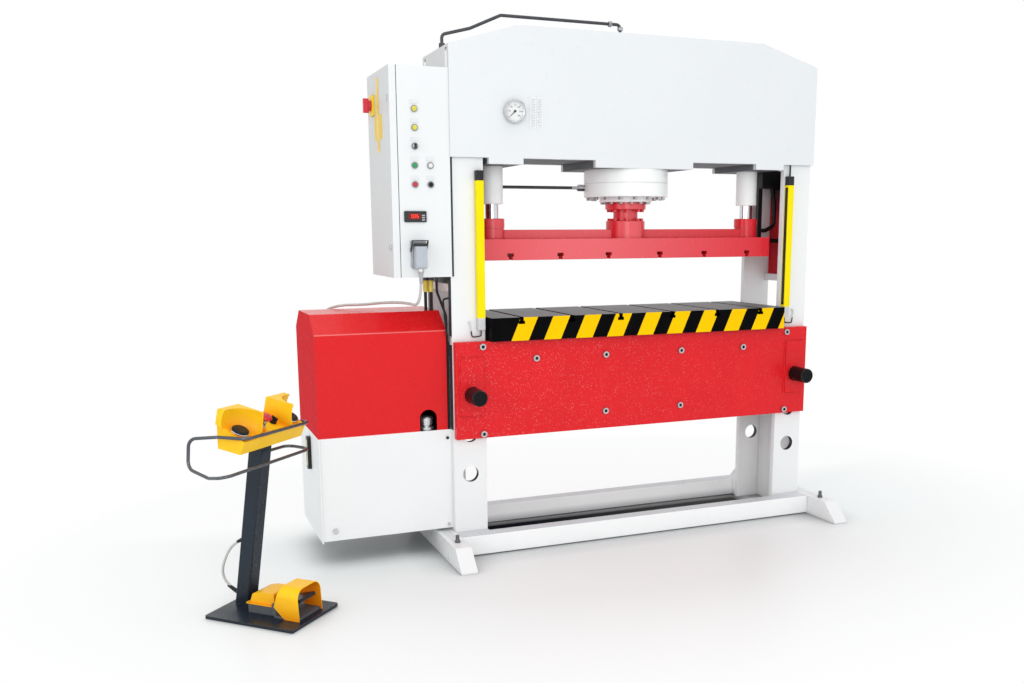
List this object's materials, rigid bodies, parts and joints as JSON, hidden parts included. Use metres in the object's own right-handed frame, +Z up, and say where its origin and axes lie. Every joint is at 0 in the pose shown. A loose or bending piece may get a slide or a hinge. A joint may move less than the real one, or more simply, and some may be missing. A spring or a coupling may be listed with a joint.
{
  "type": "hydraulic press",
  "caption": "Hydraulic workshop press with a guided slotted beam over a slotted table, pinned bed, power pack, control cabinet and a free-standing two-hand and foot pedestal.",
  "frame": {"origin": "on the floor, midway between the uprights and under the axis of the ram: the middle of the rectangle that the two feet stand on", "axes": "+Z up, +X to the press's right as seen by the operator, who stands at -Y"},
  "size_m": [3.0123, 1.3158, 2.333],
  "materials": {
    "frame_white": "gloss enamel",
    "press_red": "textured gloss enamel",
    "cover_red": "satin enamel",
    "sheet_white": "fine powder coat",
    "floor_grey": "primer",
    "table_steel": "machined",
    "guide_chrome": "hard chrome",
    "pin_black": "blackened",
    "fastener_steel": "zinc plated",
    "pipe_steel": "phosphated",
    "curtain_yellow": "gloss enamel",
    "black_plastic": "moulded",
    "grey_plastic": "moulded",
    "white_plastic": "moulded",
    "yellow_plastic": "moulded",
    "red_plastic": "moulded",
    "green_plastic": "moulded",
    "rubber_black": "extruded",
    "cable_grey": "extruded",
    "column_dark": "powder coat",
    "rail_grey": "powder coat",
    "label_white": "printed film",
    "gauge_steel": "polished"
  },
  "bodies": {
    "frame": {"upright_left": "frame_white", "upright_right": "frame_white", "side_covers": "cover_red", "crown_front_plate": "frame_white", "crown_rear_plate": "frame_white", "crown_shell": "frame_white", "crown_floor": "floor_grey", "cylinder_barrel": "frame_white", "cylinder_bolts": "fastener_steel", "guide_sleeves": "frame_white", "bed_front_plate": "press_red", "bed_rear_plate": "press_red", "bed_ties": "fastener_steel", "table": "table_steel", "base_beams": "frame_white", "feet": "frame_white", "levelling_studs": "pin_black", "gauge_case": "gauge_steel", "chart_plate": "label_white", "light_curtain_left": "curtain_yellow", "light_curtain_right": "curtain_yellow", "curtain_fittings": "black_plastic", "cabinet_body": "sheet_white", "cabinet_fittings": "grey_plastic", "connector": "grey_plastic", "tank": "sheet_white", "tank_fittings": "grey_plastic", "hood": "cover_red", "steel_pipes": "pipe_steel", "conduits": "rubber_black", "sensor_unit": "black_plastic", "control_cable": "cable_grey", "pedestal": "column_dark", "console_body": "yellow_plastic", "guard_rail": "rail_grey", "pedal_base": "grey_plastic", "pedal_guard": "yellow_plastic", "pedestal_lead": "cable_grey"},
    "ram": {"piston_rod": "guide_chrome", "ram_coupling": "press_red", "pressing_beam": "press_red", "guide_bosses": "press_red", "guide_rods": "guide_chrome"},
    "left_pin": {"pin_left": "pin_black"},
    "right_pin": {"pin_right": "pin_black"},
    "door": {"cabinet_door": "sheet_white", "door_fittings": "grey_plastic"},
    "main_switch": {"main_switch": "red_plastic"},
    "panel_selector": {"panel_selector": "black_plastic"},
    "green_button": {"button_green": "green_plastic"},
    "white_button": {"button_white": "white_plastic"},
    "red_button": {"button_red": "red_plastic"},
    "black_button": {"button_black": "black_plastic"},
    "connector_lever": {"connector_lever": "grey_plastic"},
    "left_palm_button": {"palm_button_left": "black_plastic"},
    "right_palm_button": {"palm_button_right": "black_plastic"},
    "emergency_stop": {"emergency_stop": "red_plastic"},
    "console_selector": {"console_selector": "black_plastic"},
    "treadle": {"treadle": "black_plastic"},
    "gauge_needle": {"gauge_needle": "black_plastic"}
  },
  "joints": [
    {"name": "ram_slide", "type": "slide", "parent": "frame", "child": "ram", "axis": [0, 0, -1], "range_m": [0, 0.235]},
    {"name": "left_pin_slide", "type": "slide", "parent": "frame", "child": "left_pin", "axis": [0, -1, 0], "range_m": [0, 0.405]},
    {"name": "right_pin_slide", "type": "slide", "parent": "frame", "child": "right_pin", "axis": [0, -1, 0], "range_m": [0, 0.405]},
    {"name": "door_swing", "type": "hinge", "parent": "frame", "child": "door", "pos_m": [-1.13, 0.2075, 1.643], "axis": [0, 0, -1], "range_deg": [0, 110]},
    {"name": "main_switch_turn", "type": "hinge", "parent": "door", "child": "main_switch", "pos_m": [-1.172, 0.092, 1.936], "axis": [-1, 0, 0], "range_deg": [0, 90]},
    {"name": "selector_turn", "type": "hinge", "parent": "frame", "child": "panel_selector", "pos_m": [-1.059, -0.19, 1.751], "axis": [0, -1, 0], "range_deg": [-45, 45]},
    {"name": "green_button_press", "type": "slide", "parent": "frame", "child": "green_button", "axis": [0, 1, 0], "range_m": [0, 0.003], "stiffness_N_per_m": 400},
    {"name": "white_button_press", "type": "slide", "parent": "frame", "child": "white_button", "axis": [0, 1, 0], "range_m": [0, 0.003], "stiffness_N_per_m": 400},
    {"name": "red_button_press", "type": "slide", "parent": "frame", "child": "red_button", "axis": [0, 1, 0], "range_m": [0, 0.003], "stiffness_N_per_m": 400},
    {"name": "black_button_press", "type": "slide", "parent": "frame", "child": "black_button", "axis": [0, 1, 0], "range_m": [0, 0.003], "stiffness_N_per_m": 400},
    {"name": "connector_lever_swing", "type": "hinge", "parent": "frame", "child": "connector_lever", "pos_m": [-1.056, -0.199, 1.33], "axis": [-1, 0, 0], "range_deg": [0, 40]},
    {"name": "left_palm_press", "type": "slide", "parent": "frame", "child": "left_palm_button", "axis": [-0.3221, 0.311, -0.8942], "range_m": [0, 0.003], "stiffness_N_per_m": 900},
    {"name": "right_palm_press", "type": "slide", "parent": "frame", "child": "right_palm_button", "axis": [-0.3221, 0.311, -0.8942], "range_m": [0, 0.003], "stiffness_N_per_m": 900},
    {"name": "emergency_stop_press", "type": "slide", "parent": "frame", "child": "emergency_stop", "axis": [-0.3221, 0.311, -0.8942], "range_m": [0, 0.004], "stiffness_N_per_m": 900},
    {"name": "console_selector_turn", "type": "hinge", "parent": "frame", "child": "console_selector", "pos_m": [-1.71662, -0.52686, 0.71295], "axis": [0.3221, -0.311, 0.8942], "range_deg": [-45, 45]},
    {"name": "treadle_press", "type": "hinge", "parent": "frame", "child": "treadle", "pos_m": [-1.71928, -0.63829, 0.06], "axis": [0.6947, 0.7193, 0], "range_deg": [0, 9], "stiffness_Nm_per_rad": 12, "springref_deg": -2.86},
    {"name": "needle_turn", "type": "hinge", "parent": "frame", "child": "gauge_needle", "pos_m": [-0.628, -0.221, 1.9035], "axis": [0, 1, 0], "range_deg": [0, 270], "stiffness_Nm_per_rad": 0.02, "springref_deg": -5.73}
  ]
}
